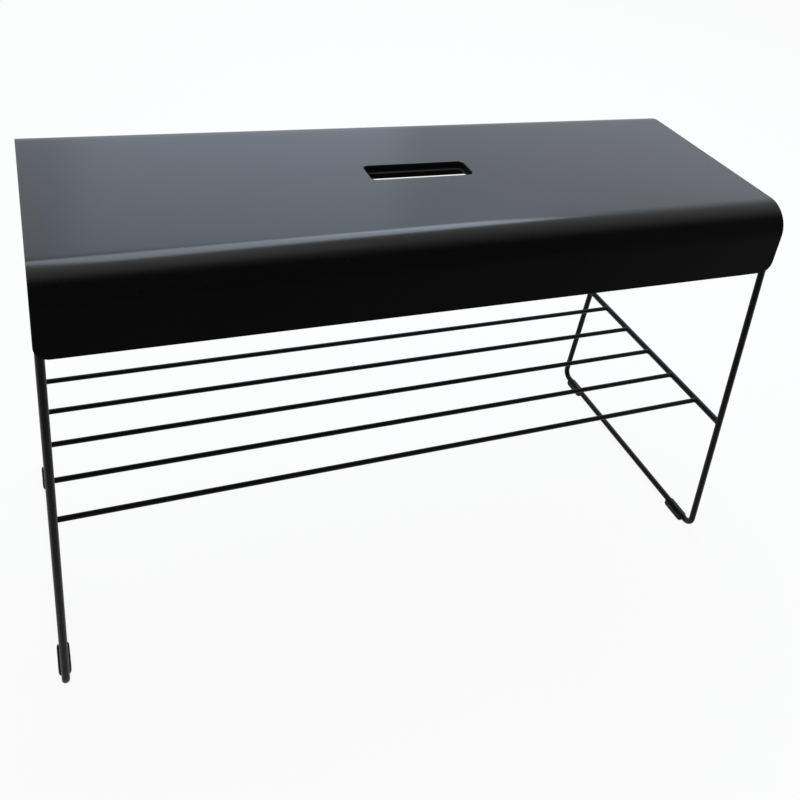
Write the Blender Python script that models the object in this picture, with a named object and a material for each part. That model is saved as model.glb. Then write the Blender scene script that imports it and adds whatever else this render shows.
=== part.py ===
"""Shoe storage bench: a bent sheet seat on two rod end frames, with a shelf of wires between the frames.

Metres, +Z up, +X along the bench, -Y to the front. The floor is z = 0 and the bench stands over the origin.
"""

import math

import bmesh
import bpy
from mathutils import Vector

# Seat sheet
SEAT_LENGTH = 0.800
SEAT_DEPTH = 0.300
SEAT_HEIGHT = 0.480
SHEET = 0.002
SEAT_BEND = 0.034
APRON_HEIGHT = 0.082
APRON_CORNER = 0.014

# Hand slot in the seat, a little behind its middle, with a rim folded down
SLOT_LENGTH = 0.118
SLOT_WIDTH = 0.032
SLOT_CORNER = 0.005
SLOT_RIM = 0.010
SLOT_SETBACK = 0.004

# End frames
FRAME_ROD = 0.008
FRAME_BEND = 0.012
FRAME_SETBACK = 0.001
FLOOR_SPREAD = 0.343

# Shoe shelf
SHELF_HEIGHT = 0.176
RAIL_ROD = 0.008
WIRE_ROD = 0.006
WIRE_COUNT = 5
WIRE_PITCH = 0.0555

# Clip-on feet
FOOT_LENGTH = 0.034
FOOT_BASE = 0.0025
FOOT_WALL = 0.002
FOOT_EDGE = 0.002
FOOT_LIP_ANGLE = math.radians(10)

# Fixings under the seat
TAB_WIDTH = 0.020
TAB_THICKNESS = 0.003
TAB_SPACING = 0.160
SCREW_INSET = 0.022
SCREW_THREAD = 0.005
SCREW_HEAD = 0.0095
SCREW_HEAD_HEIGHT = 0.0028
SCREW_HEAD_RIM = 0.001
SCREW_HEAD_FLAT = 0.0068
SCREW_SOCKET = 0.003
SCREW_SOCKET_DEPTH = 0.0014
BOSS_WALL = 0.003
BOSS_END = 0.0015

# Clearances: of touching pieces, of a leg to its apron, of a foot to the bend beside it, of a screw's tip
GAP = 0.0003
LEG_CLEARANCE = 0.0005
FOOT_CLEARANCE = 0.004
TIP_CLEARANCE = 0.001

# Steps in a quarter turn, and sides of a rod
BEND_STEPS = 10
ROD_SIDES = 16

# Heights and places that follow from the sizes
SEAT_UNDERSIDE = SEAT_HEIGHT - SHEET
APRON_BOTTOM = SEAT_HEIGHT - APRON_HEIGHT
ROD_RADIUS = FRAME_ROD / 2
FRAME_X = SEAT_LENGTH / 2 - FRAME_SETBACK - ROD_RADIUS
FLOOR_RAIL_Z = FOOT_BASE + GAP + ROD_RADIUS
TOP_RUN_Z = SEAT_UNDERSIDE - GAP - ROD_RADIUS
FRAME_TOP_BEND = max(SEAT_BEND - SHEET - FRAME_ROD, FRAME_ROD)
LEG_Y_AT_FLOOR = FLOOR_SPREAD / 2
LEG_Y_AT_APRON = SEAT_DEPTH / 2 - SHEET - LEG_CLEARANCE - ROD_RADIUS
LEG_LEAN = (LEG_Y_AT_FLOOR - LEG_Y_AT_APRON) / (APRON_BOTTOM - FLOOR_RAIL_Z)
BEND_START_Y = LEG_Y_AT_FLOOR - FRAME_BEND / math.tan((math.pi / 2 - math.atan(LEG_LEAN)) / 2)
FOOT_Y = BEND_START_Y - FOOT_CLEARANCE - FOOT_LENGTH / 2
TAB_TOP = TOP_RUN_Z - ROD_RADIUS - GAP
TAB_BOTTOM = TAB_TOP - TAB_THICKNESS
SCREW_X = FRAME_X - SCREW_INSET
THREAD_RADIUS = SCREW_THREAD / 2
THREAD_BORE = THREAD_RADIUS + GAP
BOSS_TOP = SEAT_UNDERSIDE - GAP
BOSS_BORE_TOP = BOSS_TOP - BOSS_END


def leg_y(z):
    """Distance of a leg's centre line from the middle of the bench, at height z."""
    return LEG_Y_AT_FLOOR - LEG_LEAN * (z - FLOOR_RAIL_Z)


def clear_scene():
    for obj in list(bpy.data.objects):
        bpy.data.objects.remove(obj, do_unlink=True)


def make_material(name, colour, roughness, metallic):
    material = bpy.data.materials.new(name)
    material.use_nodes = True
    shader = material.node_tree.nodes["Principled BSDF"]
    shader.inputs["Base Color"].default_value = (*colour, 1.0)
    shader.inputs["Roughness"].default_value = roughness
    shader.inputs["Metallic"].default_value = metallic
    return material


def add_part(name, data, material, location=(0.0, 0.0, 0.0), turn=0.0):
    """Places one piece of the bench, turned about the vertical, under the bench's own empty."""
    part = bpy.data.objects.new(name, data)
    part.location = location
    part.rotation_euler.z = turn
    part.parent = bpy.data.objects["bench"]
    data.materials.append(material)
    bpy.context.scene.collection.objects.link(part)
    return part


def add_helper(name, mesh, location=(0.0, 0.0, 0.0)):
    """An object that only shapes another one."""
    helper = bpy.data.objects.new(name, mesh)
    helper.location = location
    helper.hide_render = True
    helper.display_type = "WIRE"
    helper.parent = bpy.data.objects["bench"]
    bpy.context.scene.collection.objects.link(helper)
    return helper


def combine(part, helper, operation):
    modifier = part.modifiers.new(helper.name, "BOOLEAN")
    modifier.operation = operation
    modifier.object = helper
    modifier.solver = "EXACT"


def finish_mesh(name, bm):
    """Turns a bmesh to a mesh with outward faces, shaded smooth except at real edges."""
    bmesh.ops.recalc_face_normals(bm, faces=bm.faces)
    if bm.calc_volume(signed=True) < 0:
        bmesh.ops.reverse_faces(bm, faces=bm.faces)
    mesh = bpy.data.meshes.new(name)
    bm.to_mesh(mesh)
    bm.free()
    mesh.shade_smooth()
    mesh.set_sharp_from_angle(angle=math.radians(32))
    return mesh


def arc(centre, radius, start, end, steps=BEND_STEPS):
    """Points on an arc in a plane, from one angle to the other, both ends included."""
    angles = [start + (end - start) * i / steps for i in range(steps + 1)]
    return [(centre[0] + radius * math.cos(a), centre[1] + radius * math.sin(a)) for a in angles]


def circle(radius, steps):
    return arc((0.0, 0.0), radius, 0.0, 2 * math.pi, steps)[:-1]


def rounded_rectangle(length, width, corner):
    """A closed outline about the origin, with the same radius at its four corners."""
    outline = []
    for quarter, (sx, sy) in enumerate(((1, 1), (-1, 1), (-1, -1), (1, -1))):
        centre = (sx * (length / 2 - corner), sy * (width / 2 - corner))
        start = quarter * math.pi / 2
        outline += arc(centre, corner, start, start + math.pi / 2)
    return outline


def extruded(name, corners, direction):
    """A solid from a closed outline of 3D points, filled and drawn out along a direction."""
    bm = bmesh.new()
    face = bm.faces.new([bm.verts.new(corner) for corner in corners])
    drawn = bmesh.ops.extrude_face_region(bm, geom=[face])["geom"]
    moved = [item for item in drawn if isinstance(item, bmesh.types.BMVert)]
    bmesh.ops.translate(bm, vec=direction, verts=moved)
    return finish_mesh(name, bm)


def upright_prism(name, outline, bottom, top):
    return extruded(name, [(x, y, bottom) for x, y in outline], (0.0, 0.0, top - bottom))


def turned_solid(name, profile):
    """A solid turned about Z, from a half profile of (radius, height) that starts and ends on the axis."""
    bm = bmesh.new()
    verts = [bm.verts.new((radius, 0.0, height)) for radius, height in profile]
    edges = [bm.edges.new(pair) for pair in zip(verts, verts[1:])]
    bmesh.ops.spin(
        bm,
        geom=verts + edges,
        axis=(0, 0, 1),
        cent=(0, 0, 0),
        angle=2 * math.pi,
        steps=ROD_SIDES,
        use_merge=True,
    )
    bmesh.ops.remove_doubles(bm, verts=bm.verts, dist=1e-6)
    return finish_mesh(name, bm)


def straight_rod(name, diameter, length, axis):
    """A round bar about the origin, lying along X or Y, with both ends closed."""
    bm = bmesh.new()
    radius = diameter / 2
    ends = {"radius1": radius, "radius2": radius, "cap_ends": True}
    bmesh.ops.create_cone(bm, segments=ROD_SIDES, depth=length, **ends)
    for vert in bm.verts:
        x, y, z = vert.co
        vert.co = (z, x, y) if axis == "X" else (y, z, x)
    return finish_mesh(name, bm)


def fillet_loop(corners, radii):
    """A closed path of straight runs, with an arc of its own radius at each corner."""
    path = []
    for i, radius in enumerate(radii):
        here = Vector(corners[i])
        back = (Vector(corners[i - 1]) - here).normalized()
        ahead = (Vector(corners[(i + 1) % len(corners)]) - here).normalized()
        half_angle = back.angle(ahead) / 2
        run = radius / math.tan(half_angle)
        centre = here + (back + ahead).normalized() * (radius / math.sin(half_angle))
        first = here + back * run - centre
        last = here + ahead * run - centre
        for step in range(BEND_STEPS + 1):
            path.append(centre + first.slerp(last, step / BEND_STEPS) * radius)
    return path


def bent_rod(name, path, diameter):
    """A round rod that follows a closed path."""
    curve = bpy.data.curves.new(name, "CURVE")
    curve.dimensions = "3D"
    curve.bevel_depth = diameter / 2
    curve.bevel_resolution = (ROD_SIDES - 4) // 2
    spline = curve.splines.new("POLY")
    spline.points.add(len(path) - 1)
    for point, place in zip(spline.points, path):
        point.co = (*place, 1.0)
    spline.use_cyclic_u = True
    return curve


def make_seat(material):
    """The sheet: a section of aprons, bends and top drawn along X and thickened inward, then the slot."""
    half_depth = SEAT_DEPTH / 2
    bend_y = half_depth - SEAT_BEND
    bend_z = SEAT_HEIGHT - SEAT_BEND
    section = [(-half_depth, APRON_BOTTOM)]
    section += arc((-bend_y, bend_z), SEAT_BEND, math.pi, math.pi / 2)
    section += arc((bend_y, bend_z), SEAT_BEND, math.pi / 2, 0.0)
    section.append((half_depth, APRON_BOTTOM))
    bm = bmesh.new()
    verts = [bm.verts.new((-SEAT_LENGTH / 2, y, z)) for y, z in section]
    edges = [bm.edges.new(pair) for pair in zip(verts, verts[1:])]
    drawn = bmesh.ops.extrude_edge_only(bm, edges=edges)["geom"]
    moved = [item for item in drawn if isinstance(item, bmesh.types.BMVert)]
    bmesh.ops.translate(bm, vec=(SEAT_LENGTH, 0.0, 0.0), verts=moved)
    corners = [vert for vert in bm.verts if vert.co.z < APRON_BOTTOM + GAP]
    quarter_round = {"affect": "VERTICES", "segments": BEND_STEPS, "profile": 0.5}
    bmesh.ops.bevel(bm, geom=corners, offset=APRON_CORNER, **quarter_round)
    seat = add_part("seat_shell", finish_mesh("seat_shell", bm), material)
    sheet = seat.modifiers.new("sheet", "SOLIDIFY")
    sheet.thickness = SHEET
    sheet.offset = -1.0
    sheet.use_even_offset = True

    rim_outline = rounded_rectangle(SLOT_LENGTH + 2 * SHEET, SLOT_WIDTH + 2 * SHEET, SLOT_CORNER + SHEET)
    rim = upright_prism("slot_rim", rim_outline, SEAT_HEIGHT - SLOT_RIM, SEAT_HEIGHT - SHEET / 2)
    slot_place = (0.0, SLOT_SETBACK, 0.0)
    combine(seat, add_helper("slot_rim", rim, slot_place), "UNION")
    hole_outline = rounded_rectangle(SLOT_LENGTH, SLOT_WIDTH, SLOT_CORNER)
    hole = upright_prism("slot_hole", hole_outline, APRON_BOTTOM, SEAT_HEIGHT + SHEET)
    combine(seat, add_helper("slot_hole", hole, slot_place), "DIFFERENCE")


def make_end_frame(name, side, material):
    """One rod bent to a closed loop: floor rail, two splayed legs and a run under the seat."""
    corners = []
    for end, z in ((-1, FLOOR_RAIL_Z), (1, FLOOR_RAIL_Z), (1, TOP_RUN_Z), (-1, TOP_RUN_Z)):
        corners.append((0.0, end * leg_y(z), z))
    path = fillet_loop(corners, (FRAME_BEND, FRAME_BEND, FRAME_TOP_BEND, FRAME_TOP_BEND))
    add_part(name, bent_rod(name, path, FRAME_ROD), material, (side * FRAME_X, 0.0, 0.0))


def make_shelf_rail(name, side, material):
    """A bar across an end frame, cut to meet both legs where they lean in above it."""
    leg_half_width = ROD_RADIUS * math.sqrt(1 + LEG_LEAN**2)
    length = 2 * (leg_y(SHELF_HEIGHT + RAIL_ROD / 2) - leg_half_width - GAP)
    add_part(name, straight_rod(name, RAIL_ROD, length, "Y"), material, (side * FRAME_X, 0.0, SHELF_HEIGHT))


def make_shelf_wires(material):
    """Straight wires from rail to rail, spread evenly about the middle of the bench."""
    length = 2 * (FRAME_X - RAIL_ROD / 2 - GAP)
    for i in range(WIRE_COUNT):
        name = f"shelf_wire_{i + 1}"
        y = WIRE_PITCH * (i - (WIRE_COUNT - 1) / 2)
        add_part(name, straight_rod(name, WIRE_ROD, length, "X"), material, (0.0, y, SHELF_HEIGHT))


def make_foot(name, side, end, material):
    """A clip open at the top, its bore round the floor rail and its base flat on the floor."""
    rail = (0.0, FLOOR_RAIL_Z)
    bore = ROD_RADIUS + GAP
    outside = bore + FOOT_WALL
    edge_x = outside - FOOT_EDGE
    lip = FOOT_LIP_ANGLE
    half = math.pi
    section = arc(rail, outside, lip, 0.0)
    section += arc((edge_x, FOOT_EDGE), FOOT_EDGE, 0.0, -half / 2)
    section += arc((-edge_x, FOOT_EDGE), FOOT_EDGE, -half / 2, -half)
    section += arc(rail, outside, half, half - lip)
    section += arc(rail, bore, half - lip, 2 * half + lip, 2 * BEND_STEPS)
    mesh = extruded(name, [(x, -FOOT_LENGTH / 2, z) for x, z in section], (0.0, FOOT_LENGTH, 0.0))
    add_part(name, mesh, material, (side * FRAME_X, end * FOOT_Y, 0.0))


def make_tab(name, side, y, material):
    """A plate under the frame's top run, round at its inner end about the screw's hole."""
    half_width = TAB_WIDTH / 2
    outline = [(ROD_RADIUS, -half_width), (ROD_RADIUS, half_width)]
    outline += arc((-SCREW_INSET, 0.0), half_width, math.pi / 2, 3 * math.pi / 2, 2 * BEND_STEPS)
    turn = 0.0 if side > 0 else math.pi
    mesh = upright_prism(name, outline, TAB_BOTTOM, TAB_TOP)
    tab = add_part(name, mesh, material, (side * FRAME_X, y, 0.0), turn)
    hole_mesh = upright_prism("tab_hole", circle(THREAD_BORE, ROD_SIDES), TAB_BOTTOM - GAP, TAB_TOP + GAP)
    combine(tab, add_helper(f"{name}_hole", hole_mesh, (side * SCREW_X, y, 0.0)), "DIFFERENCE")


def make_boss(name, side, y, material):
    """A round boss on the underside of the seat, with a blind bore for the screw."""
    radius = THREAD_BORE + BOSS_WALL
    bottom = TAB_TOP + GAP
    profile = [(0.0, BOSS_TOP), (radius, BOSS_TOP), (radius, bottom)]
    profile += [(THREAD_BORE, bottom), (THREAD_BORE, BOSS_BORE_TOP), (0.0, BOSS_BORE_TOP)]
    add_part(name, turned_solid(name, profile), material, (side * SCREW_X, y, 0.0))


def make_screw(name, side, y, material):
    """A screw with its head under the tab, its shank up through the tab into the boss."""
    seat = TAB_BOTTOM - GAP
    end = seat - SCREW_HEAD_HEIGHT
    tip = BOSS_BORE_TOP - TIP_CLEARANCE
    profile = [(0.0, tip), (THREAD_RADIUS, tip), (THREAD_RADIUS, seat), (SCREW_HEAD / 2, seat)]
    profile += [(SCREW_HEAD / 2, seat - SCREW_HEAD_RIM), (SCREW_HEAD_FLAT / 2, end), (0.0, end)]
    screw = add_part(name, turned_solid(name, profile), material, (side * SCREW_X, y, 0.0))
    hexagon = circle(SCREW_SOCKET / math.sqrt(3), 6)
    socket_mesh = upright_prism("socket", hexagon, end - SCREW_SOCKET_DEPTH, end + SCREW_SOCKET_DEPTH)
    combine(screw, add_helper(f"{name}_socket", socket_mesh, (side * SCREW_X, y, 0.0)), "DIFFERENCE")


def main():
    clear_scene()
    bench = bpy.data.objects.new("bench", None)
    bpy.context.scene.collection.objects.link(bench)
    seat_coat = make_material("seat_coat", (0.012, 0.012, 0.013), 0.42, 0.0)
    frame_coat = make_material("frame_coat", (0.011, 0.011, 0.011), 0.45, 0.0)
    wire_coat = make_material("wire_coat", (0.011, 0.011, 0.011), 0.45, 0.0)
    foot_plastic = make_material("foot_plastic", (0.016, 0.016, 0.016), 0.6, 0.0)
    screw_steel = make_material("screw_steel", (0.55, 0.55, 0.56), 0.35, 1.0)

    make_seat(seat_coat)
    make_shelf_wires(wire_coat)
    for side_name, side in (("left", -1), ("right", 1)):
        make_end_frame(f"{side_name}_end_frame", side, frame_coat)
        make_shelf_rail(f"{side_name}_shelf_rail", side, frame_coat)
        for end_name, end in (("front", -1), ("back", 1)):
            place = f"{end_name}_{side_name}"
            tab_y = end * TAB_SPACING / 2
            make_foot(f"{place}_foot", side, end, foot_plastic)
            make_tab(f"{place}_fixing_tab", side, tab_y, frame_coat)
            make_boss(f"{place}_threaded_boss", side, tab_y, frame_coat)
            make_screw(f"{place}_screw", side, tab_y, screw_steel)


main()
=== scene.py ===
# %% [markdown]
# # A black steel bench for shoes
#
# The bench is one sheet of steel bent over at the front and the back, standing on two loops of round
# rod. Five thin wires between the loops make a shelf for shoes. All of it wears the same satin black
# powder coat, so the picture lives on clean edges, on how light slides over the seat, and on the thin rods.
#
# The solids of the bench are already made and measured. This lesson loads them as a fixed frame and puts
# finer surfaces in their places: rounded sheet edges, smooth rods, and the small welds that hold them.

# %% Load the measured part
import math

import bpy
import numpy as np
from mathutils import Matrix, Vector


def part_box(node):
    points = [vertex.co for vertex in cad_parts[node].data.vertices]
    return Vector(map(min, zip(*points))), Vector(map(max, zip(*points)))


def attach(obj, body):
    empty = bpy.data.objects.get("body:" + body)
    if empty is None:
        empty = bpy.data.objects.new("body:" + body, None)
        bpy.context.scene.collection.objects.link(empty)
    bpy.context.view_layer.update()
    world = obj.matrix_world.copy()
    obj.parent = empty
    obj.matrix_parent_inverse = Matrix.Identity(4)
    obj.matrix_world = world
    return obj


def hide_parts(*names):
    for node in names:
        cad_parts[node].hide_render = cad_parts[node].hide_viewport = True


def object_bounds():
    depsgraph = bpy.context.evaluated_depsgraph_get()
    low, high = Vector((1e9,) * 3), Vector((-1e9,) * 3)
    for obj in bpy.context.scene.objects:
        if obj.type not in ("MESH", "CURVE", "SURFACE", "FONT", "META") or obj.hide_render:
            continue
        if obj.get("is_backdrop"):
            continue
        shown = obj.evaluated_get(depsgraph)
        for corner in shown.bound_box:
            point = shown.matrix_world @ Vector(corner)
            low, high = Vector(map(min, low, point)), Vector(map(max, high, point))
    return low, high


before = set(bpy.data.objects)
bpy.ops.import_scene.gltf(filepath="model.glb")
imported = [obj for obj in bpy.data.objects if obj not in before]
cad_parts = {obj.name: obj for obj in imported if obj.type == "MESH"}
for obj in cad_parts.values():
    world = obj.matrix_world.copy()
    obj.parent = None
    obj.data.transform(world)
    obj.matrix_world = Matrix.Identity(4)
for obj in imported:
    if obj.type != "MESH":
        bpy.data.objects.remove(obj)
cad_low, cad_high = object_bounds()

print("solids in the frame:", len(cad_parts))
print("box in metres:", [round(high - low, 4) for low, high in zip(cad_low, cad_high)])

# %% [markdown]
# ## Sizes
#
# Every solid can tell its own box, so lengths and places are read from the frame instead of typed again.
# Only what a box can't show is written here: the radius of a bend, or where a leg starts to lean. Keeping
# these in one place means that a change of the part needs a change in one cell.

# %% Sizes read from the frame, and the few that a box does not show
def box_of(node):
    """The lowest and highest corner of a solid, as arrays."""
    low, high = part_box(node)
    return np.array(low), np.array(high)


seat_low, seat_high = box_of("seat_shell")
HALF_LENGTH, HALF_DEPTH, SEAT_TOP = seat_high
APRON_BOTTOM = seat_low[2]
SHEET, SHEET_EDGE = 0.002, 0.0004
SEAT_BEND = 0.034
APRON_CORNER = 0.014

SLOT_HALF_LENGTH = 0.059
SLOT_HALF_WIDTH = 0.016
SLOT_CORNER = 0.005
SLOT_RIM = 0.010
SLOT_BACK = 0.004
SLOT_ROLL = 0.0026

frame_low, frame_high = box_of("right_end_frame")
ROD = (frame_high[0] - frame_low[0]) / 2
FRAME_X = (frame_high[0] + frame_low[0]) / 2
FLOOR_RAIL_Z = frame_low[2] + ROD
TOP_RUN_Z = frame_high[2] - ROD
LOWER_BEND = 0.012
UPPER_BEND = 0.024
LEG_Y_AT_FLOOR = 0.17147
LEG_Y_AT_APRON = 0.1435
LEAN = (LEG_Y_AT_FLOOR - LEG_Y_AT_APRON) / (APRON_BOTTOM - FLOOR_RAIL_Z)

rail_low, rail_high = box_of("right_shelf_rail")
SHELF_Z = (rail_low[2] + rail_high[2]) / 2
wire_low, wire_high = box_of("shelf_wire_1")
WIRE = (wire_high[2] - wire_low[2]) / 2
WIRE_COUNT = 5

SIDES = {"left": -1.0, "right": 1.0}
CORNERS = [f"{end}_{side}" for end in ("front", "back") for side in SIDES]
print(f"seat {2 * HALF_LENGTH:.3f} x {2 * HALF_DEPTH:.3f} m, top at {SEAT_TOP:.3f} m")
print(f"rods {2000 * ROD:.1f} mm, wires {2000 * WIRE:.1f} mm, shelf at {SHELF_Z:.3f} m")

# %% [markdown]
# ## From arrays to a mesh
#
# A surface on a grid is an array of points with rows and columns. Each face joins four neighbours, so the
# faces are four shifted views of the same table of point numbers. Building both as whole arrays is faster
# than a loop over points, and it keeps the formula of the shape in plain sight.

# %% Helpers that turn grids into pieces of the bench
def grid_faces(numbers):
    """Quads over a table of point numbers: each joins a point to its right, diagonal and lower ones."""
    corners = (numbers[:-1, :-1], numbers[:-1, 1:], numbers[1:, 1:], numbers[1:, :-1])
    return np.stack(corners, axis=-1).reshape(-1, 4)


def ring_numbers(rows, columns, start=0):
    """Point numbers of rows that close on themselves: the first column is repeated after the last."""
    numbers = start + np.arange(rows * columns).reshape(rows, columns)
    return np.concatenate([numbers, numbers[:, :1]], axis=1)


def capped_faces(rings):
    """Quads between closed rings, and one face over each end, whose order makes it look outward."""
    numbers = ring_numbers(*rings.shape[:2])
    return [*grid_faces(numbers), numbers[0, -2::-1], numbers[-1, :-1]]


def make_piece(name, points, faces, finish, replaced=(), crease=None):
    """Puts points and faces into a mesh, smooth but for creases, and seats it on the bench's body."""
    mesh = bpy.data.meshes.new(name)
    faces = [list(map(int, face)) for face in faces]
    mesh.from_pydata(np.asarray(points).reshape(-1, 3).tolist(), [], faces)
    mesh.validate()
    mesh.shade_smooth()
    if crease is not None:
        mesh.set_sharp_from_angle(angle=math.radians(crease))
    mesh.materials.append(finish)
    piece = bpy.data.objects.new(name, mesh)
    bpy.context.scene.collection.objects.link(piece)
    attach(piece, "root")
    if replaced:
        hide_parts(*replaced)
    return piece


print("a table of 3 by 4 points gives", len(grid_faces(np.arange(12).reshape(3, 4))), "faces")

# %% [markdown]
# ## Shader maths as Python
#
# A material in Blender is a web of nodes. Written node by node it soon hides its meaning, so small classes
# help. One wraps a socket, and plus, minus or times on it adds a Math node. The next owns a web and adds
# every other kind of node with one method. The last is the web of a material on a piece of the bench.

# %% A number that varies, and the web that it belongs to
class Amount:
    """A number that varies over a surface. Operators on it add Math nodes to its web."""

    def __init__(self, web, socket):
        self.web, self.socket = web, socket

    def math(self, operation, first, second):
        """Adds one Math node and hands back its result."""
        return self.web.node("ShaderNodeMath", {"operation": operation}, {0: first, 1: second})

    def __add__(self, other):
        return self.math("ADD", self, other)

    def __radd__(self, other):
        return self.math("ADD", other, self)

    def __sub__(self, other):
        return self.math("SUBTRACT", self, other)

    def __rsub__(self, other):
        return self.math("SUBTRACT", other, self)

    def __mul__(self, other):
        return self.math("MULTIPLY", self, other)

    def __rmul__(self, other):
        return self.math("MULTIPLY", other, self)

    def __abs__(self):
        return self.math("ABSOLUTE", self, 0.0)


class Web:
    """The nodes of a material or of the world."""

    def __init__(self, owner):
        owner.use_nodes = True
        self.tree = owner.node_tree

    def node(self, kind, settings, sockets, output=0):
        """Adds a node, sets it up, gives its sockets their values or links, and hands back one output."""
        node = self.tree.nodes.new(kind)
        for key, value in settings.items():
            setattr(node, key, value)
        for key, value in sockets.items():
            self.feed(node.inputs[key], value)
        return Amount(self, node.outputs[output])

    def feed(self, socket, value):
        """Links an amount to a socket, or writes a plain value into it."""
        if isinstance(value, Amount):
            self.tree.links.new(value.socket, socket)
        else:
            socket.default_value = value

    def show(self, shader):
        """Sends a shader to the web's output."""
        output = next(node for node in self.tree.nodes if node.bl_idname.startswith("ShaderNodeOutput"))
        self.feed(output.inputs["Surface"], shader)

    def seen(self):
        """1 for rays from the camera, and for those that a shiny or clear surface sends on, otherwise 0."""
        rays = [self.node("ShaderNodeLightPath", {}, {}, f"Is {kind} Ray")
                for kind in ("Camera", "Glossy", "Transmission")]
        return self.node("ShaderNodeClamp", {}, {"Value": rays[0] + rays[1] + rays[2]})


print("an amount can be added, subtracted, multiplied and made positive")

# %% The web of a finish
class Finish(Web):
    """A material made of nodes, on the coordinates of the piece that wears it."""

    def __init__(self, name):
        self.material = bpy.data.materials.new(name)
        super().__init__(self.material)
        self.shader = self.tree.nodes["Principled BSDF"]
        self.place = self.node("ShaderNodeTexCoord", {}, {}, "Object")

    def coordinate(self, axis, vector=None):
        """X, Y or Z of a vector, or of the place on the piece where none is given."""
        return self.node("ShaderNodeSeparateXYZ", {}, {"Vector": vector or self.place}, axis)

    def noise(self, scale, detail=2.0, stretch=(1.0, 1.0, 1.0)):
        """Soft clouds between 0 and 1, drawn out along the axes where stretch is small."""
        place = self.node("ShaderNodeMapping", {}, {"Vector": self.place, "Scale": stretch}, "Vector")
        return self.node("ShaderNodeTexNoise", {}, {"Vector": place, "Scale": scale, "Detail": detail})

    def between(self, value, low, high):
        """0 below low, 1 above high and a smooth step from one to the other."""
        sockets = {"Value": value, "From Min": low, "From Max": high}
        return self.node("ShaderNodeMapRange", {"interpolation_type": "SMOOTHSTEP"}, sockets)

    def blend(self, factor, first, second):
        """The first colour where factor is 0, the second where it is 1."""
        sockets = {0: factor, 6: first, 7: second}
        return self.node("ShaderNodeMix", {"data_type": "RGBA"}, sockets, 2)

    def relief(self, height, strength, distance):
        """A normal that leans as if the surface rose and fell with height."""
        sockets = {"Height": height, "Strength": strength, "Distance": distance}
        return self.node("ShaderNodeBump", {}, sockets, "Normal")

    def wear(self, **sockets):
        """Sets the main shader's own sockets, from names with underscores."""
        for key, value in sockets.items():
            self.feed(self.shader.inputs[key.replace("_", " ")], value)
        print(f"{self.material.name}: {len(self.tree.nodes)} nodes")
        return self.material


def grey(level, blue=1.0):
    """A grey in linear light, a little bluer where blue is above 1."""
    return (level, level, level * blue, 1.0)


print("a tenth of the light as a grey:", grey(0.1))

# %% [markdown]
# ## The satin powder coat
#
# Powder coat is sprayed on as dust and baked until it flows. It never flows out quite flat: the skin
# keeps a fine orange peel, and its gloss drifts a little from place to place. The colour is near black, so
# nearly all that the eye sees is a reflection. The top, polished by years of sitting, mirrors the room in
# a pale sheen, while the aprons keep the dull black of the oven. A clear coat gives that sheen, and its
# weight follows how far the surface faces up. Hands rub the sheet's ends a touch paler. A pale line painted
# at the foot of the slot's rim is a painted highlight, standing for light caught on the rim's lower edge.

# %% A black coat for every piece of steel
DRIFT_SCALE, WIPE_SCALE, PEEL_SCALE, MOTE_SCALE = 5.0, 22.0, 850.0, 1500.0
DRIFT_GLOSS, WIPE_GLOSS, PEEL_GLOSS = 0.05, 0.06, 0.04
WIPED_LENGTHWISE = (0.12, 1.0, 1.0)
DARKER, PALER, BLUER = 0.8, 1.25, 1.06
DUST, DUST_SHARE = grey(0.06), 0.25
PEEL_DEPTH = 0.0004


def powder_coat(name, level, roughness, facing):
    """Drifting gloss, fine peel and a few motes of dust. Returns the finish and its parts.

    The three kinds of noise each move the roughness up and down by half their share. facing tints the
    reflection of a surface that is looked at squarely, and leaves its sheen at a low angle.
    """
    coat = Finish(name)
    drift = coat.noise(DRIFT_SCALE, detail=3.0)
    wiped = coat.noise(WIPE_SCALE, detail=3.0, stretch=WIPED_LENGTHWISE)
    peel = coat.noise(PEEL_SCALE, detail=1.0)
    motes = coat.between(coat.noise(MOTE_SCALE, detail=0.0), low=0.76, high=0.82)
    colour = coat.blend(drift, grey(level * DARKER), grey(level * PALER, BLUER))
    colour = coat.blend(motes * DUST_SHARE, colour, DUST)
    gloss = roughness + DRIFT_GLOSS * (drift - 0.5)
    gloss = gloss + WIPE_GLOSS * (wiped - 0.5) + PEEL_GLOSS * (peel - 0.5)
    coat.feed(coat.shader.inputs["Specular Tint"], grey(facing))
    return coat, colour, gloss, peel


print("peel of the coat:", 1000 * PEEL_DEPTH, "mm deep")

# %% Coat of the seat
SEAT_LEVEL, SEAT_ROUGHNESS, UNDERCOAT_SHINE = 0.0031, 0.45, 0.02
DULL_WEIGHT, POLISHED_WEIGHT, POLISH_DRIFT = 0.02, 0.56, 0.05
POLISH_ROUGHNESS = 0.20
RUBBED_EDGE, RUBBED_SHARE, RUBBED_GLOSS = grey(0.05), 0.5, 0.05
RUBBED_FROM, RUBBED_TO = 0.0016, 0.0003
# A pale warm colour painted at the foot of the slot's rim: a painted highlight for light caught on its
# lower edge.
RIM_PAINTED_HIGHLIGHT, RIM_HIGHLIGHT_SHARE = (0.11, 0.10, 0.085, 1.0), 0.7
RIM_HIGHLIGHT_FROM, RIM_HIGHLIGHT_TO = 0.0008, 0.0024
SLOT_SIDE_FROM, SLOT_SIDE_TO = 0.030, 0.034


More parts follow.
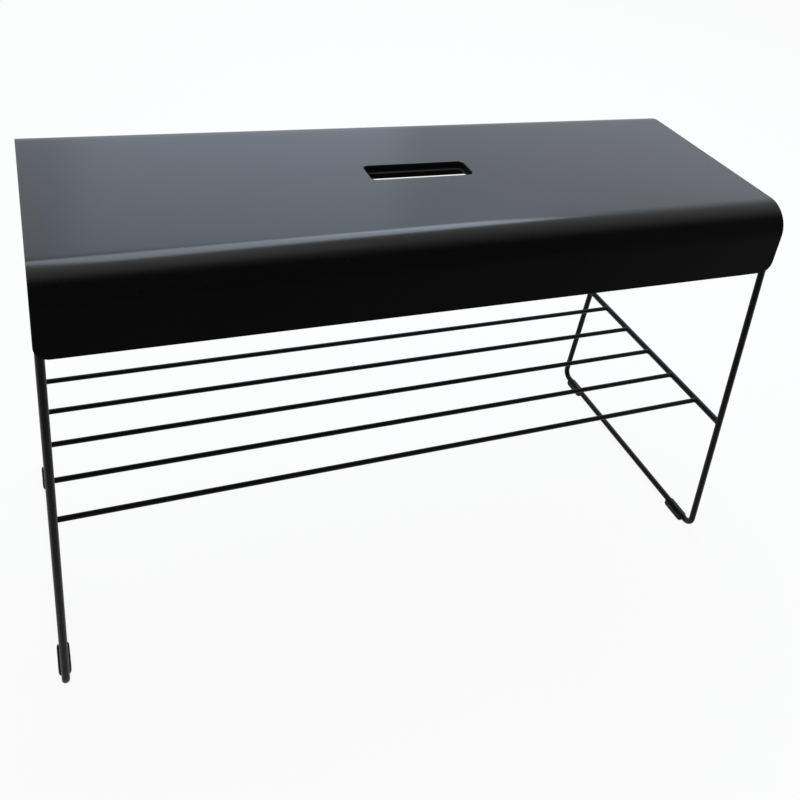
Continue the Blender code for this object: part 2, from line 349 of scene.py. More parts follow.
def seat_finish():
    """The coat with a polished top, ends rubbed pale and a painted highlight, a pale line at the foot of
    the slot's rim.

    The clear coat's weight is small, plus a smooth step that starts where the surface leans over and ends
    where it lies flat.
    """
    coat, colour, gloss, peel = powder_coat("seat_coat_finish", SEAT_LEVEL, SEAT_ROUGHNESS, facing=0.0)
    along, across, height = (coat.coordinate(axis) for axis in "XYZ")
    near_end = coat.between(abs(along), HALF_LENGTH - RUBBED_FROM, HALF_LENGTH - RUBBED_TO)
    rubbed = near_end * coat.noise(scale=60.0)
    colour = coat.blend(rubbed * RUBBED_SHARE, colour, RUBBED_EDGE)
    rim_foot = SEAT_TOP - SLOT_RIM
    by_slot = 1.0 - coat.between(abs(across), SLOT_SIDE_FROM, SLOT_SIDE_TO)
    # Painted highlight: a pale band over the lowest millimetres of the slot's rim.
    rim_highlight = by_slot * (1.0 - coat.between(height, rim_foot + RIM_HIGHLIGHT_FROM, rim_foot + RIM_HIGHLIGHT_TO))
    colour = coat.blend(rim_highlight * RIM_HIGHLIGHT_SHARE, colour, RIM_PAINTED_HIGHLIGHT)
    outward = coat.node("ShaderNodeNewGeometry", {}, {}, "Normal")
    upward = coat.between(coat.coordinate("Z", outward), low=0.60, high=1.0)
    polished = DULL_WEIGHT + upward * (POLISHED_WEIGHT + POLISH_DRIFT * coat.noise(scale=3.0))
    return coat.wear(Base_Color=colour, Roughness=gloss - RUBBED_GLOSS * rubbed,
                     Specular_IOR_Level=UNDERCOAT_SHINE,
                     Coat_Weight=polished, Coat_Roughness=POLISH_ROUGHNESS,
                     Normal=coat.relief(peel, strength=0.05, distance=PEEL_DEPTH))


SEAT_COAT = seat_finish()

# %% [markdown]
# ## The bent seat
#
# On the real bench the seat is cut flat, with its hand slot and its rounded corners, and then folded. The
# mesh follows the same order. A flat table of points is laid out along the length and across the unfolded
# sheet, and a formula folds it: straight up the front apron, round a quarter circle, across the top, and
# down again. Rows are close together where the sheet curves, and wide apart where it is flat.

# %% Fold a flat sheet into the seat
APRON_FLAT = SEAT_TOP - SEAT_BEND - APRON_BOTTOM
BEND_RUN = SEAT_BEND * math.pi / 2
HALF_TOP = HALF_DEPTH - SEAT_BEND
HALF_SHEET = HALF_TOP + BEND_RUN + APRON_FLAT


def folded(across):
    """Where a distance from the seat's middle line, measured on the sheet, ends up as depth and height.

    On the top the depth is the distance itself. Past the top the distance turns into an angle round the
    bend, whose sine and cosine give depth and height. What is left after a quarter turn runs straight down.
    """
    out = np.abs(across) - HALF_TOP
    angle = np.clip(out, 0.0, BEND_RUN) / SEAT_BEND
    depth = np.minimum(np.abs(across), HALF_TOP) + SEAT_BEND * np.sin(angle)
    height = SEAT_TOP - SEAT_BEND * (1 - np.cos(angle)) - np.maximum(out - BEND_RUN, 0.0)
    return np.sign(across) * depth, height


def half_length_at(across):
    """Half the sheet's length: full, but less along a quarter circle where an apron's corner is rounded."""
    into_corner = np.clip(np.abs(across) - (HALF_SHEET - APRON_CORNER), 0.0, APRON_CORNER)
    return HALF_LENGTH - APRON_CORNER + np.sqrt(APRON_CORNER**2 - into_corner**2)


def mirrored(values):
    """Values from the middle outward, repeated with a minus sign on the other side."""
    return np.concatenate([-values[::-1], values])


print(f"flat sheet {2 * HALF_LENGTH:.3f} x {2 * HALF_SHEET:.3f} m before it is folded")

# %% [markdown]
# ## The hand slot
#
# The slot's edge isn't cut sharp: the steel is rolled over and folded down, so that it doesn't hurt the
# hand that lifts the bench. The grid of the seat leaves a window round the slot, and rings of points lead
# from the window's edge to the slot's outline, over the roll and down the rim. Each point of the window
# keeps its own line down to the slot, so the corners of one feed the corners of the other.

# %% Rings from a window in the sheet down into the slot
WINDOW_X, WINDOW_Y = 0.085, 0.040
CORNER_SHARE = 0.70
FLAT_RINGS, ROLL_RINGS = 6, 9
straight = np.linspace(0.0, CORNER_SHARE, 9)
window_share = np.unique(np.concatenate([straight, np.linspace(CORNER_SHARE, 1.0, 7)]))
window_share = np.unique(mirrored(window_share))


def slot_outline(along, across, outward):
    """Points of the slot's outline, offset outward, for points of a square window from -1 to 1.

    The part of each side up to CORNER_SHARE goes to the slot's straight side. The rest, together with the
    next side's share, goes round the corner's quarter circle, by an angle that grows evenly.
    """
    flat_x, flat_y = SLOT_HALF_LENGTH - SLOT_CORNER, SLOT_HALF_WIDTH - SLOT_CORNER
    radius = SLOT_CORNER + outward
    over_x = np.clip(np.abs(along) - CORNER_SHARE, 0.0, None) / (1 - CORNER_SHARE)
    over_y = np.clip(np.abs(across) - CORNER_SHARE, 0.0, None) / (1 - CORNER_SHARE)
    on_end = np.abs(along) >= np.abs(across)
    angle = np.where(on_end, over_y, 2.0 - over_x) * math.pi / 4
    x = flat_x * np.clip(np.abs(along) / CORNER_SHARE, 0.0, 1.0) + radius * np.cos(angle)
    y = flat_y * np.clip(np.abs(across) / CORNER_SHARE, 0.0, 1.0) + radius * np.sin(angle)
    return np.sign(along) * x, SLOT_BACK + np.sign(across) * y


def slot_rings(along, across, edge):
    """Rows of points from the window's edge to the rim's foot.

    They run flat toward the slot, then over a quarter circle, whose sine and cosine give the way in and
    down, and fall straight to the foot.
    """
    flat = np.linspace(0.0, 1.0, FLAT_RINGS)[1:, None, None]
    start = np.stack([*slot_outline(along, across, SLOT_ROLL), np.full_like(along, SEAT_TOP)], axis=-1)
    rows = [edge + flat * (start - edge)]
    for turn in np.linspace(0.0, math.pi / 2, ROLL_RINGS)[1:]:
        x, y = slot_outline(along, across, SLOT_ROLL * (1 - math.sin(turn)))
        height = SEAT_TOP - SLOT_ROLL * (1 - math.cos(turn))
        rows.append(np.stack([x, y, np.full_like(x, height)], axis=-1)[None])
    foot = rows[-1].copy()
    foot[..., 2] = SEAT_TOP - SLOT_RIM
    return np.concatenate([*rows, foot])


print("points on each side of the window:", len(window_share))

# %% Lay out the sheet
TOP_ROWS, BEND_ROWS, CORNER_ROWS, END_COLUMNS = 5, 25, 11, 13
LAST_CORNER_ROW = 75.0
NANOMETRE = 9


def seat_rows():
    """Distances of the rows from the middle line: over the window, the top, the bends and the corners.

    Round an apron's corner they follow the sine of even angles, up to LAST_CORNER_ROW in degrees and then
    the edge, so the softened edge fits below that row. Rounding drops the rows that two parts share.
    """
    turn = np.append(np.radians(np.linspace(0.0, LAST_CORNER_ROW, CORNER_ROWS)), math.pi / 2)
    corner = HALF_SHEET - APRON_CORNER + APRON_CORNER * np.sin(turn)
    bend = HALF_TOP + BEND_RUN * np.linspace(0.0, 1.0, BEND_ROWS)
    inside = window_share[window_share >= 0] * WINDOW_Y
    top = np.linspace(WINDOW_Y, HALF_TOP, TOP_ROWS)
    half = np.unique(np.round(np.concatenate([inside, top, bend, corner]), NANOMETRE))
    return np.unique(mirrored(half))


def seat_skin():
    """The folded sheet's points on a table, with the row and the column where the window starts.

    Past the window, the columns share out what is left of the sheet's length in equal steps.
    """
    across = seat_rows()
    reach = half_length_at(across)[:, None]
    outer = np.linspace(1.0, 0.0, END_COLUMNS)[None, :-1]
    left = -(WINDOW_X + outer * (reach - WINDOW_X))
    middle = np.broadcast_to(window_share * WINDOW_X, (len(across), len(window_share)))
    along = np.concatenate([left, middle, -left[:, ::-1]], axis=1)
    depth, height = folded(across)
    skin = np.stack(np.broadcast_arrays(along, depth[:, None], height[:, None]), axis=-1)
    return skin, int(np.argmin(np.abs(across + WINDOW_Y))), outer.shape[1]


print("rows across the sheet:", len(seat_rows()))

# %% Build the seat
EDGE_STEPS, EDGE_ANGLE = 3, 50


def make_seat():
    """The folded sheet as one skin, then given its thickness and softened edges by two modifiers."""
    skin, first_row, first_column = seat_skin()
    numbers = np.arange(skin.size // 3).reshape(skin.shape[:2])
    count = len(window_share)
    window = numbers[first_row:first_row + count, first_column:first_column + count]
    cells = np.ones((numbers.shape[0] - 1, numbers.shape[1] - 1), bool)
    cells[first_row:first_row + count - 1, first_column:first_column + count - 1] = False
    faces = grid_faces(numbers)[cells.ravel()]

    loop = np.concatenate([window[0, :-1], window[:-1, -1], window[-1, :0:-1], window[:0:-1, 0]])
    edge = skin.reshape(-1, 3)[loop]
    rings = slot_rings(edge[:, 0] / WINDOW_X, edge[:, 1] / WINDOW_Y, edge)
    below = ring_numbers(len(rings), len(loop), skin.size // 3)
    table = np.concatenate([np.append(loop, loop[0])[None], below])
    faces = np.concatenate([faces, grid_faces(table)])

    points = np.concatenate([skin.reshape(-1, 3), rings.reshape(-1, 3)])
    seat = make_piece("seat_sheet", points, faces, SEAT_COAT, ["seat_shell"])
    wall = seat.modifiers.new("sheet thickness", "SOLIDIFY")
    wall.thickness, wall.offset, wall.use_even_offset = SHEET, -1.0, True
    soft = seat.modifiers.new("rubbed edges", "BEVEL")
    soft.width, soft.segments = SHEET_EDGE, EDGE_STEPS
    soft.limit_method, soft.angle_limit = "ANGLE", math.radians(EDGE_ANGLE)
    soft.harden_normals = True
    return seat


seat = make_seat()
print("seat sheet:", len(seat.data.vertices), "points before it gets its thickness")

# %% [markdown]
# ## Coat of the rods
#
# The rods hang in the same oven, but powder gathers more evenly on a round bar and less on its ends, so
# their coat is a shade rougher. A rod reflects the whole room in a narrow band, and too much shine would
# draw a white line along it. The photograph shows dull black rods, so the reflection is kept low.

# %% Coats of frames and wires
ROD_FACING = 0.05


def rod_finish(name, level, roughness):
    """The black coat on a round bar, where the peel shows a little more than on the sheet."""
    coat, colour, gloss, peel = powder_coat(name, level, roughness, ROD_FACING)
    normal = coat.relief(peel, strength=0.08, distance=PEEL_DEPTH)
    return coat.wear(Base_Color=colour, Roughness=gloss, Normal=normal)


FRAME_COAT = rod_finish("frame_coat_finish", level=0.0034, roughness=0.46)
WIRE_COAT = rod_finish("wire_coat_finish", level=0.0036, roughness=0.48)

# %% [markdown]
# ## Plastic and zinc
#
# The feet are moulded from black plastic, and the screws are plated with zinc. Both are small, so one or
# two kinds of noise are enough: a grain from the mould and scuffs under the sole on one, a cloudy bloom and
# the fine marks of turning on the other.

# %% Plastic of the feet, zinc of the screws
PLASTIC_DARK, PLASTIC_PALE, PLASTIC_SCUFFED = grey(0.004), grey(0.008), grey(0.09)
ZINC_COOL, ZINC_PALE = (0.40, 0.41, 0.43, 1.0), (0.60, 0.60, 0.60, 1.0)


def foot_finish():
    """Moulded plastic: a fine spark-eroded grain, and a pale scuffed sole where it slides on the floor."""
    plastic = Finish("foot_plastic_finish")
    grain = plastic.noise(scale=2400.0, detail=2.0)
    cloud = plastic.noise(scale=90.0, detail=2.0)
    above_sole = plastic.between(plastic.coordinate("Z"), low=0.0002, high=0.0014)
    scuffed = (1.0 - above_sole) * plastic.noise(scale=420.0, detail=3.0, stretch=(1.0, 0.2, 1.0))
    colour = plastic.blend(cloud, PLASTIC_DARK, PLASTIC_PALE)
    colour = plastic.blend(scuffed, colour, PLASTIC_SCUFFED)
    gloss = 0.55 + 0.10 * (grain - 0.5) + 0.2 * scuffed
    return plastic.wear(Base_Color=colour, Roughness=gloss, Specular_IOR_Level=0.12,
                        Normal=plastic.relief(grain, strength=0.25, distance=0.0003))


def screw_finish():
    """Zinc plate: a cool bright metal with a cloudy bloom, and fine marks drawn out along the screw."""
    zinc = Finish("screw_steel_finish")
    bloom = zinc.noise(scale=260.0, detail=3.0)
    turned = zinc.noise(scale=4200.0, detail=1.0, stretch=(1.0, 1.0, 0.1))
    colour = zinc.blend(bloom, ZINC_COOL, ZINC_PALE)
    gloss = 0.28 + 0.22 * bloom + 0.08 * (turned - 0.5)
    return zinc.wear(Base_Color=colour, Roughness=gloss, Metallic=1.0,
                     Normal=zinc.relief(turned, strength=0.1, distance=0.0002))


FOOT_PLASTIC = foot_finish()
SCREW_STEEL = screw_finish()

# %% [markdown]
# ## The end frames
#
# Each end frame is one rod, bent four times and closed to a loop. Blender could give a curve a round
# bevel, but here the loop is a circle carried along a path. The path's straight legs meet in arcs, and an
# arc is worked out by turning one radius toward the other evenly.

# %% Carry a circle along a path
AROUND = np.arange(32) * 2 * math.pi / 32
ARC_STEPS = 16


def leg_depth(height):
    """How far a leg's centre line stands from the bench's middle: it leans in evenly on its way up."""
    return LEG_Y_AT_FLOOR - LEAN * (height - FLOOR_RAIL_Z)


def rounded_loop(corners, radii):
    """A closed path with arcs for corners. Each arc turns its first radius to its last by equal angles."""
    back = np.roll(corners, 1, axis=0) - corners
    ahead = np.roll(corners, -1, axis=0) - corners
    back /= np.linalg.norm(back, axis=1, keepdims=True)
    ahead /= np.linalg.norm(ahead, axis=1, keepdims=True)
    half = np.arccos(np.sum(back * ahead, axis=1)) / 2
    middle = (back + ahead) / np.linalg.norm(back + ahead, axis=1, keepdims=True)
    centre = corners + middle * (radii / np.sin(half))[:, None]
    first = corners + back * (radii / np.tan(half))[:, None] - centre
    last = corners + ahead * (radii / np.tan(half))[:, None] - centre
    turn = (math.pi - 2 * half)[:, None, None]
    share = np.linspace(0.0, 1.0, ARC_STEPS + 1)[None, :, None]
    mixed = np.sin((1 - share) * turn) * first[:, None] + np.sin(share * turn) * last[:, None]
    return (centre[:, None] + mixed / np.sin(turn)).reshape(-1, 2)


def loop_rod(x, path, radius):
    """A closed rod in an upright plane.

    Round each point of the path, a circle's cosine goes out sideways, and its sine along the path's normal.
    """
    tangent = np.roll(path, -1, axis=0) - np.roll(path, 1, axis=0)
    tangent /= np.linalg.norm(tangent, axis=1, keepdims=True)
    normal = np.stack([tangent[:, 1], -tangent[:, 0]], axis=1)
    side = np.broadcast_to(x + radius * np.cos(AROUND), (len(path), len(AROUND)))
    plane = path[:, None] + radius * np.sin(AROUND)[None, :, None] * normal[:, None]
    points = np.concatenate([side[..., None], plane], axis=-1)
    numbers = ring_numbers(len(path), len(AROUND))
    return points, grid_faces(np.concatenate([numbers, numbers[:1]]))


def make_frames():
    """The same loop at both ends: a floor rail, two leaning legs and the run under the seat."""
    heights = np.array([FLOOR_RAIL_Z, FLOOR_RAIL_Z, TOP_RUN_Z, TOP_RUN_Z])
    corners = np.stack([np.array([-1, 1, 1, -1]) * leg_depth(heights), heights], axis=1)
    path = rounded_loop(corners, np.array([LOWER_BEND, LOWER_BEND, UPPER_BEND, UPPER_BEND]))
    for name, side in SIDES.items():
        points, faces = loop_rod(side * FRAME_X, path, ROD)
        make_piece(f"{name}_frame_rod", points, faces, FRAME_COAT, [f"{name}_end_frame"])
    print("end frames:", len(path), "circles of", len(AROUND), "points each")


make_frames()

# %% [markdown]
# ## Rails, wires and their welds
#
# The shelf's wires end on a rail, and the rails end on the legs. Each end is hollowed to fit the round bar
# that it meets, and a small weld runs round the joint. A straight tube pushed into the bar would show a
# hard line there, so the last rings of the tube step out along a quarter circle, and each point stops
# on the surface of the bar. The weld is then part of the wire's own surface, as it is under the coat.

# %% A bar whose ends are welded to round bars
WELD_RINGS = 9
WELD_ROOT = 0.6
RIPPLES = ((0.16, 5, 0.7), (0.10, 9, 2.1))


def welded_bar(radius, weld, reach, widest):
    """Rings along a bar with a flared end at both sides, as places along it, sideways and upward.

    A ring in the weld stands back from the bar it meets by weld times one minus a cosine, and is wider by
    weld times one minus a sine. reach gives, for points of a ring, where the met bar's surface is, and
    widest is how far a ring may go sideways and upward before it would hang over that bar's edge.
    Slow ripples round the ring keep the weld from looking turned on a lathe. A last, narrower ring lies
    inside the met bar, as the weld's root.
    """
    sweep = np.linspace(0.0, math.pi / 2, WELD_RINGS)
    back = weld * (1 - np.cos(sweep))[:, None]
    wide = weld * (1 - np.sin(sweep))[:, None]
    ripple = sum((depth * np.sin(waves * AROUND + start) for depth, waves, start in RIPPLES), 1)
    ring = radius + wide * ripple
    aside = np.clip(ring * np.cos(AROUND), -widest[0], widest[0])
    level = np.clip(ring * np.sin(AROUND), -widest[1], widest[1])
    ahead = reach(level, aside)
    narrow = WELD_ROOT * radius
    root = [ahead[0] + WELD_ROOT * weld, narrow * np.cos(AROUND), narrow * np.sin(AROUND)]
    flare = np.stack([ahead - back, aside, level], axis=-1)
    end = np.concatenate([np.stack(root, axis=-1)[None], flare])
    other = end * np.array([-1.0, 1.0, 1.0])
    return np.concatenate([other, end[::-1]])


def on_rail(level, aside):
    """A rail's near side, seen from the middle of a wire.

    It is closest at mid height, and a circle's root of squares takes it further away above and below.
    """
    return FRAME_X - np.sqrt(np.maximum(ROD**2 - level**2, 0.0))


def on_leg(level, aside):
    """A leg's near side, seen from the middle of a rail.

    It leans in with height, and the same root of squares rounds it off sideways.
    """
    half_width = np.sqrt(np.maximum(ROD**2 - aside**2, 0.0)) * math.hypot(1.0, LEAN)
    return leg_depth(SHELF_Z + level) - half_width


print("weld:", WELD_RINGS, "rings at each end of a bar")

# %% Build the shelf
WIRE_WELD, RAIL_WELD = 0.0012, 0.0016
ANY_WIDTH = 1.0


def make_shelf():
    """Five wires along the bench, and two rails, which are bars turned a quarter to run across it."""
    rows = welded_bar(WIRE, WIRE_WELD, on_rail, (ANY_WIDTH, ROD))
    for number in range(1, WIRE_COUNT + 1):
        node = f"shelf_wire_{number}"
        low, high = box_of(node)
        points = rows + np.array([0.0, (low[1] + high[1]) / 2, SHELF_Z])
        make_piece(f"wire_rod_{number}", points, capped_faces(rows), WIRE_COAT, [node])
    rows = welded_bar(ROD, RAIL_WELD, on_leg, (ROD, ANY_WIDTH))
    turned = rows[..., [1, 0, 2]] * np.array([-1.0, 1.0, 1.0])
    for name, side in SIDES.items():
        points = turned + np.array([side * FRAME_X, 0.0, SHELF_Z])
        node = f"{name}_shelf_rail"
        make_piece(f"{name}_rail_rod", points, capped_faces(rows), FRAME_COAT, [node])
    print("shelf: five wires and two rails,", len(rows), "rings each")


make_shelf()

# %% [markdown]
# ## The clip-on feet
#
# Four plastic clips snap on the floor rails from below and keep the steel off the floor. Each has a bore
# as round as the rod, thin lips that end beside it, and a flat sole with soft edges. The outline of that
# section is carried along the rail, and the last rings draw in a little, as a moulding's ends do.

# %% Outline of the clip
FOOT_GAP = 0.0003
FOOT_WALL = 0.002
FOOT_EDGE = 0.002
LIP = math.radians(10)
SOLE_RISE = 0.4
LIP_POINTS, EDGE_POINTS, BORE_POINTS = 4, 9, 25


def arc(centre, radius, start, end, steps):
    """Points on a circle from one angle to another."""
    angle = np.linspace(start, end, steps)
    return np.stack([centre[0] + radius * np.cos(angle), centre[1] + radius * np.sin(angle)], axis=1)


def clip_outline(drawn_in):
    """The clip's closed outline: down one side, across the sole, up the other, and back round the bore.

    drawn_in is taken off the wall, and SOLE_RISE times as much lifts the sole.
    """
    rail, bore = (0.0, FLOOR_RAIL_Z), ROD + FOOT_GAP
    wall, edge = bore + FOOT_WALL - drawn_in, FOOT_EDGE
    low = (wall - edge, edge + SOLE_RISE * drawn_in)
    return np.concatenate([
        arc(rail, wall, LIP, 0.0, LIP_POINTS),
        arc(low, edge, 0.0, -math.pi / 2, EDGE_POINTS),
        arc((-low[0], low[1]), edge, -math.pi / 2, -math.pi, EDGE_POINTS),
        arc(rail, wall, math.pi, math.pi - LIP, LIP_POINTS),
        arc(rail, bore, math.pi - LIP, 2 * math.pi + LIP, BORE_POINTS),
    ])


print("clip:", len(clip_outline(0.0)), "points round")

# %% Carry the outline along the rail
FOOT_CREASE = 40
FOOT_END = ((0.0, 0.0013), (0.0005, 0.0008), (0.0014, 0.0004), (0.0032, 0.0001), (0.0060, 0.0))


def make_feet():
    """Each foot is its outline at the places of FOOT_END, drawn in as it says, and the same from behind."""
    for corner in CORNERS:
        node = f"{corner}_foot"
        low, high = box_of(node)
        stations = [(low[1] + at, inset) for at, inset in FOOT_END]
        stations += [(low[1] + high[1] - at, inset) for at, inset in stations[::-1]]
        rings = [np.insert(clip_outline(inset), 1, at, axis=1) for at, inset in stations]
        points = np.stack(rings) + np.array([(low[0] + high[0]) / 2, 0.0, 0.0])
        make_piece(f"{corner}_glide", points, capped_faces(points), FOOT_PLASTIC, [node],
                   FOOT_CREASE)
    print("four feet of", len(points), "rings each")


make_feet()

# %% [markdown]
# ## Fixings under the seat
#
# Nobody sees them from above, but a bench that is picked up shows its underside: a tab on each frame, a
# boss on the sheet and a screw that joins them. Bosses and screws are turned parts, so their surface is a
# profile swept about an upright axis. The driver's socket is the same sweep with a radius that follows a
# hexagon. The tabs are plain punched plates, so their solids stay and only get a better coat.

# %% Turn a profile about an upright axis
TURNED = np.arange(48) * 2 * math.pi / 48
TURNED_CREASE = 35


def hexagon(flat):
    """Distance from the middle of a hexagon to its side, at each angle: half its width over a cosine."""
    return flat / 2 / np.cos((TURNED + math.pi / 6) % (math.pi / 3) - math.pi / 6)


def turned_piece(name, node, profile, finish):
    """Sweeps a profile of radius and height about the node's upright axis, and closes both ends."""
    low, high = box_of(node)
    radius = np.stack([np.broadcast_to(r, TURNED.shape) for r, _ in profile])
    height = np.array([z for _, z in profile])[:, None] + np.zeros_like(radius)
    points = np.stack([radius * np.cos(TURNED), radius * np.sin(TURNED), height], axis=-1)
    points = points + np.array([(low[0] + high[0]) / 2, (low[1] + high[1]) / 2, 0.0])
    return make_piece(name, points, capped_faces(points), finish, [node], TURNED_CREASE)


def quarter(steps):
    """Sines and cosines of even angles over a quarter turn, in pairs."""
    return [(math.sin(turn), math.cos(turn)) for turn in np.linspace(0.0, math.pi / 2, steps)]


print("a hexagon of 3 mm reaches", round(1000 * hexagon(0.003).max(), 2), "mm from its middle")

# %% Bosses, screws and tabs
BOSS_BORE, BOSS_END = 0.0028, 0.0015
BOSS_EDGE, BOSS_WELD = 0.0004, 0.0014
SOCKET_WIDTH, SOCKET_DEPTH, SOCKET_EDGE, SOCKET_MIDDLE = 0.003, 0.0014, 0.0002, 0.0005
HEAD_FLAT, HEAD_DOME, HEAD_RISE = 0.0034, 0.00135, 0.0018
HEAD_RADIUS, HEAD_HEIGHT, SHANK = 0.00475, 0.0028, 0.0025


def boss_profile(node):
    """From the bore's end down, round the lower edge by a quarter circle, and up into a hollow weld."""
    low, high = box_of(node)
    outer = (high[0] - low[0]) / 2
    foot = [(outer - BOSS_EDGE * (1 - sine), low[2] + BOSS_EDGE * (1 - cosine))
            for sine, cosine in quarter(5)]
    weld = [(outer + BOSS_WELD * (1 - sine), high[2] - BOSS_WELD * (1 - cosine))
            for sine, cosine in quarter(6)[::-1]]
    return [(BOSS_BORE, high[2] - BOSS_END), (BOSS_BORE, low[2]), *foot, *weld]


def screw_profile(node):
    """From the socket's floor down its six sides, out over the domed head, and up the shank."""
    low, high = box_of(node)
    socket, floor, head = hexagon(SOCKET_WIDTH), low[2] + SOCKET_DEPTH, low[2] + HEAD_HEIGHT
    dome = [(HEAD_FLAT + HEAD_DOME * sine, low[2] + HEAD_RISE * (1 - cosine))
            for sine, cosine in quarter(8)]
    return [(SOCKET_MIDDLE, floor), (socket, floor), (socket, low[2] + SOCKET_EDGE),
            (socket + SOCKET_EDGE, low[2]), *dome,
            (HEAD_RADIUS, head), (SHANK, head), (SHANK, high[2])]


def make_fixings():
    """A boss, a screw and a coated tab at each corner of the seat."""
    for corner in CORNERS:
        boss, screw = f"{corner}_threaded_boss", f"{corner}_screw"
        turned_piece(f"{corner}_boss_turned", boss, boss_profile(boss), FRAME_COAT)
        turned_piece(f"{corner}_screw_turned", screw, screw_profile(screw), SCREW_STEEL)
        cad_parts[f"{corner}_fixing_tab"].material_slots[0].material = FRAME_COAT
    print("fixings: four bosses, four screws, four tabs")


make_fixings()

# %% [markdown]
# ## Floor and light
#
# The bench stands in a plain bright studio. Two soft lamps behind it lie in the seat's sheen, a wide one
# and one that lifts its middle. A strip of light runs slantwise overhead, and the start of the front bend
# throws it back as a fine pale line. A weak warm lamp above evens out the rest. The floor and the world are
# white where the camera sees them. The floor still takes light and shade, so the bench keeps a soft shadow.

# %% Floor and world
FLOOR_HALF, FLOOR_POINTS = 9.0, 13
FLOOR_GREY, FLOOR_SEEN_WHITE, FILL = 0.86, 0.92, 0.45


def make_floor():
    """A wide flat grid under the feet, pale to light and nearly white to the eye, clear from below."""
    span = np.linspace(-FLOOR_HALF, FLOOR_HALF, FLOOR_POINTS)
    x, y = np.meshgrid(span, span)
    points = np.stack([x, y, np.zeros_like(x)], axis=-1)
    mesh = bpy.data.meshes.new("studio_floor")
    faces = grid_faces(np.arange(x.size).reshape(x.shape))
    mesh.from_pydata(points.reshape(-1, 3).tolist(), [], faces.tolist())
    floor = bpy.data.objects.new("studio_floor", mesh)
    bpy.context.scene.collection.objects.link(floor)
    finish = Finish("floor_finish")
    pale = finish.node("ShaderNodeBsdfDiffuse", {}, {"Color": grey(FLOOR_GREY)}, "BSDF")
    white = finish.node("ShaderNodeEmission", {}, {"Color": grey(1.0), "Strength": 1.0}, "Emission")
    share = finish.seen() * FLOOR_SEEN_WHITE
    mixed = finish.node("ShaderNodeMixShader", {}, {0: share, 1: pale, 2: white}, "Shader")
    below = finish.node("ShaderNodeNewGeometry", {}, {}, "Backfacing")
    clear = finish.node("ShaderNodeBsdfTransparent", {}, {}, "BSDF")
    finish.show(finish.node("ShaderNodeMixShader", {}, {0: below, 1: mixed, 2: clear}, "Shader"))
    mesh.materials.append(finish.material)
    floor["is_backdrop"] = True


def make_world():
    """White where it is seen, and a plain even fill where it lights the bench."""
    world = bpy.data.worlds.new("studio")
    bpy.context.scene.world = world
    web = Web(world)
    fill = web.node("ShaderNodeBackground", {}, {"Color": grey(1.0), "Strength": FILL})
    white = web.node("ShaderNodeBackground", {}, {"Color": grey(1.0), "Strength": 1.0})
    web.show(web.node("ShaderNodeMixShader", {}, {0: web.seen(), 1: fill, 2: white}))


make_floor()
make_world()
print("floor of", 2 * FLOOR_HALF, "m, fill light", FILL)

# %% Lamps
SEAT_MIDDLE = (0.0, 0.0, 0.48)
COOL, DAYLIGHT, WARM = (0.55, 0.74, 1.0), (0.70, 0.83, 1.0), (1.0, 0.94, 0.84)
LAMPS = {  # place, target, width and height, brightness, colour
    "wide_softbox": ((0.97, 2.41, 1.98), SEAT_MIDDLE, (4.4, 2.2), 0.58, COOL),
    "middle_softbox": ((0.44, 2.55, 1.98), SEAT_MIDDLE, (1.35, 2.2), 0.80, COOL),
    "strip_softbox": ((0.48, 0.965, 2.08), (0.95, 0.085, 0.48), (1.95, 0.8), 6.4, DAYLIGHT),
    "top_softbox": ((-0.3, -0.2, 2.8), (0.0, 0.0, 0.3), (2.2, 1.6), 0.6, WARM),
}


def axes_toward(forward):
    """Right and up for something that looks along forward with its top toward the sky."""
    right = np.cross(forward, (0.0, 0.0, 1.0))
    right /= np.linalg.norm(right)
    return right, np.cross(right, forward)


def placed(obj, place, right, up, forward):
    """Stands an object at a place, its own axes along right, up and backward."""
    matrix = np.eye(4)
    matrix[:3] = np.stack([right, up, -np.asarray(forward), place], axis=1)
    obj.matrix_world = Matrix(matrix.tolist())
    bpy.context.scene.collection.objects.link(obj)


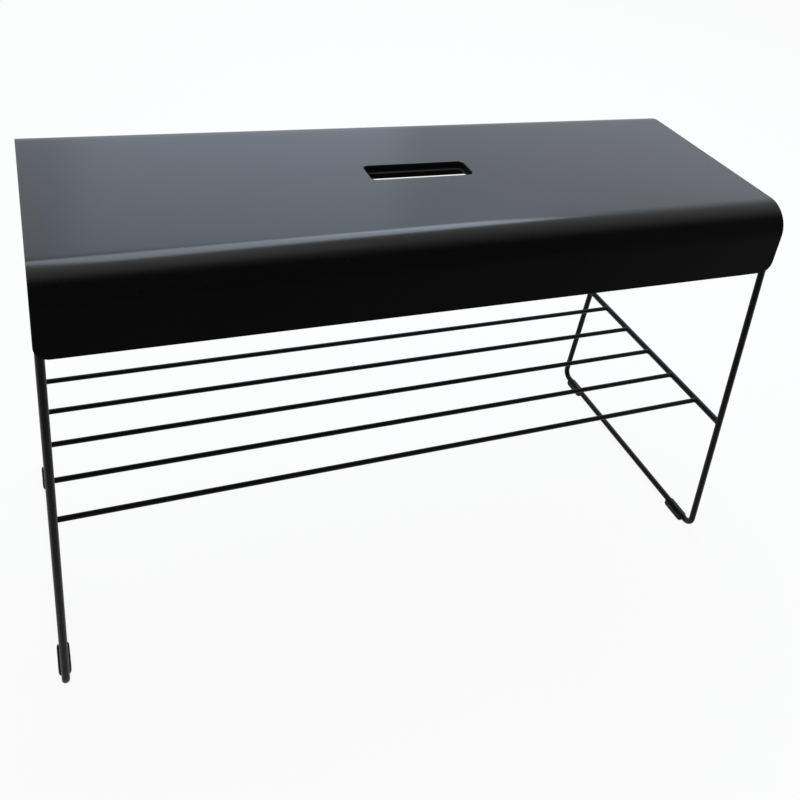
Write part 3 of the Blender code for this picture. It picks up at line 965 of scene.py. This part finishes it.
def soft_lamp(name, place, target, size, brightness, colour):
    """A rectangle of light. Its power is brightness times area times pi, so size keeps its look."""
    width, height = size
    lamp = bpy.data.lights.new(name, "AREA")
    lamp.shape, lamp.size, lamp.size_y = "RECTANGLE", width, height
    lamp.energy = brightness * width * height * math.pi
    lamp.color = colour
    forward = np.array(target) - np.array(place)
    forward /= np.linalg.norm(forward)
    obj = bpy.data.objects.new(name, lamp)
    placed(obj, place, *axes_toward(forward), forward)
    obj.visible_camera = False
    print(f"{name}: {lamp.energy:.0f} W over {width} x {height} m")


for lamp_name, lamp_values in LAMPS.items():
    soft_lamp(lamp_name, *lamp_values)

# %% [markdown]
# ## The camera
#
# The photograph looks down on the bench from the front left, from a little over a metre away, with the
# camera turned a little on its axis. Its place, its turn and its focal length were worked out from the
# edges of the seat and the lines of the wires. The picture's middle is not where the lens pointed, because
# the photograph is cropped, and a shift of the lens gives that crop.

# %% Camera at the photograph's place
CAMERA_PLACE = (-0.3996, -0.8411, 0.9049)
YAW, PITCH, ROLL = 0.4847, -0.4917, 0.1583
SENSOR, LENS, SHIFT = 36.0, 42.05, (-0.0569, -0.2056)


def make_camera():
    """Yaw turns the view from +Y toward +X, pitch tips it down, and roll turns the picture."""
    flat = math.cos(PITCH)
    forward = np.array([math.sin(YAW) * flat, math.cos(YAW) * flat, math.sin(PITCH)])
    level_right, level_up = axes_toward(forward)
    right = math.cos(ROLL) * level_right + math.sin(ROLL) * level_up
    up = math.cos(ROLL) * level_up - math.sin(ROLL) * level_right
    data = bpy.data.cameras.new("photo_camera")
    data.sensor_width, data.lens = SENSOR, LENS
    data.shift_x, data.shift_y = SHIFT
    camera = bpy.data.objects.new("photo_camera", data)
    placed(camera, CAMERA_PLACE, right, up, forward)
    bpy.context.scene.camera = camera
    bpy.context.scene.view_settings.view_transform = "Standard"
    print(f"camera {LENS} mm at {CAMERA_PLACE}")


make_camera()

# %% [markdown]
# ## Last measure
#
# The finer surfaces may not outgrow the measured part, so their largest step outside the measured
# box is printed.

# %% Compare the boxes and finish
seen_low, seen_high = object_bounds()
below = [cad - seen for cad, seen in zip(cad_low, seen_low)]
above = [seen - cad for cad, seen in zip(cad_high, seen_high)]
print("largest step outside the measured box:", round(max(below + above), 6))
